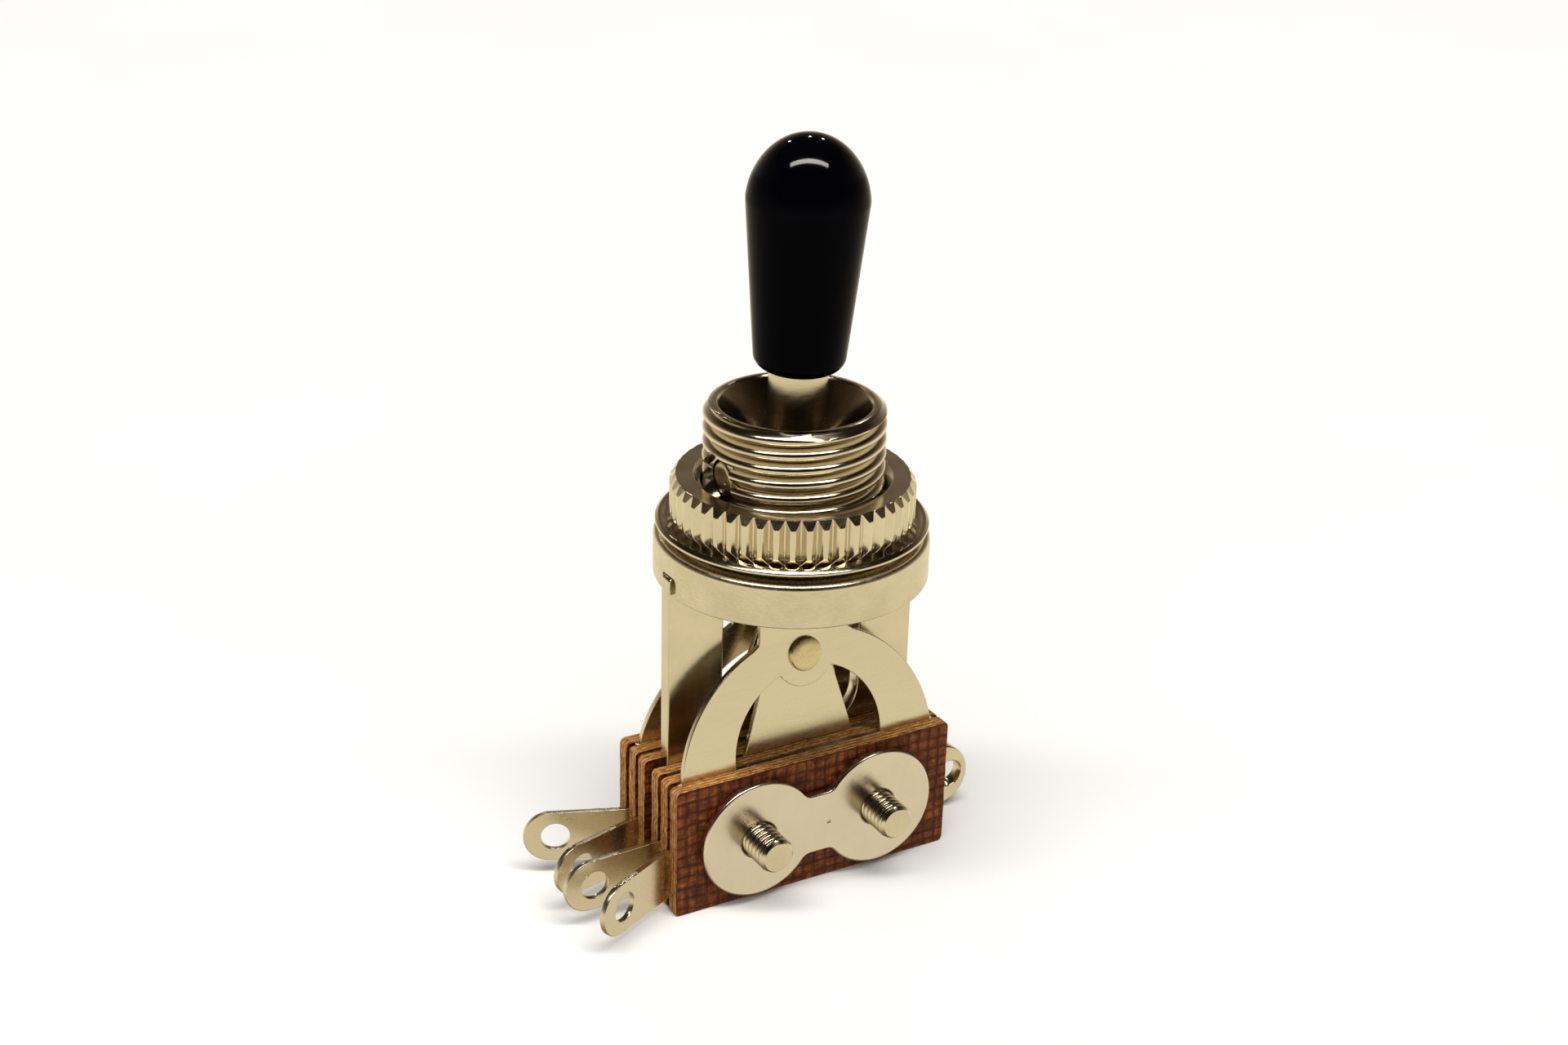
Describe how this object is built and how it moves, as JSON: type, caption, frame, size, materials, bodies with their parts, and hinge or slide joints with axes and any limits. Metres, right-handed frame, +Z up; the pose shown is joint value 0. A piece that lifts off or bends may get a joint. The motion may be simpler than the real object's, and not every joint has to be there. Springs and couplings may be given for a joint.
{
  "type": "lever leaf switch",
  "caption": "Panel-mounted three-way lever switch: tipped lever in a threaded bushing with knurled nut, open frame, leaf-spring contacts, board stack and solder lugs.",
  "frame": {"origin": "on the bushing's axis, at the raised seat that meets the panel", "axes": "+Z up along the bushing's axis, towards the lever's tip; -Y towards the clamp plate and the screws' threaded ends; -X towards the solder lugs, +X towards the ground lug"},
  "size_m": [0.0328, 0.0184, 0.0518],
  "materials": {
    "tip_plastic": "high gloss blue-black",
    "rod_nickel": "bright nickel plate on steel",
    "nylon": "natural nylon",
    "pin_steel": "ground steel",
    "bushing_nickel": "bright nickel plate on brass",
    "nut_nickel": "bright nickel plate on knurled brass",
    "washer_nickel": "bright nickel plate on brass",
    "collar_nickel": "slightly mottled nickel plate on zinc",
    "frame_nickel": "satin nickel plate",
    "clamp_nickel": "bright satin nickel plate",
    "screw_nickel": "nickel plated steel",
    "leaf_silver": "satin nickel silver",
    "contact_silver": "silver, burnished",
    "phenolic": "reddish-brown canvas laminate with tan cut edges"
  },
  "bodies": {
    "switch_body": {"body_collar": "collar_nickel", "threaded_bushing": "bushing_nickel", "frame": "frame_nickel", "front_clamp_plate": "clamp_nickel", "left_clamp_screw": "screw_nickel", "right_clamp_screw": "screw_nickel", "left_screw_sleeve": "nylon", "right_screw_sleeve": "nylon", "front_inner_board": "phenolic", "front_middle_board": "phenolic", "front_cover_board": "phenolic", "back_inner_board": "phenolic", "back_middle_board": "phenolic", "back_cover_board": "phenolic", "front_outer_terminal": "leaf_silver", "front_inner_leaf": "leaf_silver", "front_inner_contact": "contact_silver", "back_outer_terminal": "leaf_silver", "back_inner_leaf": "leaf_silver", "back_inner_contact": "contact_silver"},
    "pivot": {"pivot_pin": "pin_steel"},
    "lever": {"lever_rod": "rod_nickel", "lever_shoe": "nylon", "lever_tip": "tip_plastic"},
    "front_leaf": {"front_outer_blade": "leaf_silver", "front_outer_contact": "contact_silver"},
    "back_leaf": {"back_outer_blade": "leaf_silver", "back_outer_contact": "contact_silver"},
    "washer": {"dress_washer": "washer_nickel"},
    "nut": {"mounting_nut": "nut_nickel"}
  },
  "joints": [
    {"name": "lever_forward", "type": "hinge", "parent": "switch_body", "child": "pivot", "pos_m": [0, 0, 0.0042], "axis": [1, 0, 0], "range_deg": [0, 9.4]},
    {"name": "lever_back", "type": "hinge", "parent": "pivot", "child": "lever", "pos_m": [0, 0, 0.0042], "axis": [-1, 0, 0], "range_deg": [0, 14.6]},
    {"name": "back_leaf_flex", "type": "hinge", "parent": "switch_body", "child": "back_leaf", "pos_m": [0, 0.00302, -0.0154], "axis": [-1, 0, 0], "range_deg": [0, 8]},
    {"name": "front_leaf_flex", "type": "hinge", "parent": "switch_body", "child": "front_leaf", "pos_m": [0, -0.00302, -0.0154], "axis": [1, 0, 0], "range_deg": [0, 8]},
    {"name": "washer_lift", "type": "slide", "parent": "switch_body", "child": "washer", "axis": [0, 0, 1], "range_m": [0, 0.004]},
    {"name": "nut_turn", "type": "hinge", "parent": "washer", "child": "nut", "pos_m": [0, 0, 0.002], "axis": [0, 0, 1], "range_deg": [0, 1441]}
  ],
  "couplings": [
    {"joint": "back_leaf_flex", "follows": "lever_forward", "ratio": 0.7119},
    {"joint": "front_leaf_flex", "follows": "lever_back", "ratio": 0.4584},
    {"joint": "nut_turn", "follows": "washer_lift", "rad_per_m": 6283.2}
  ]
}
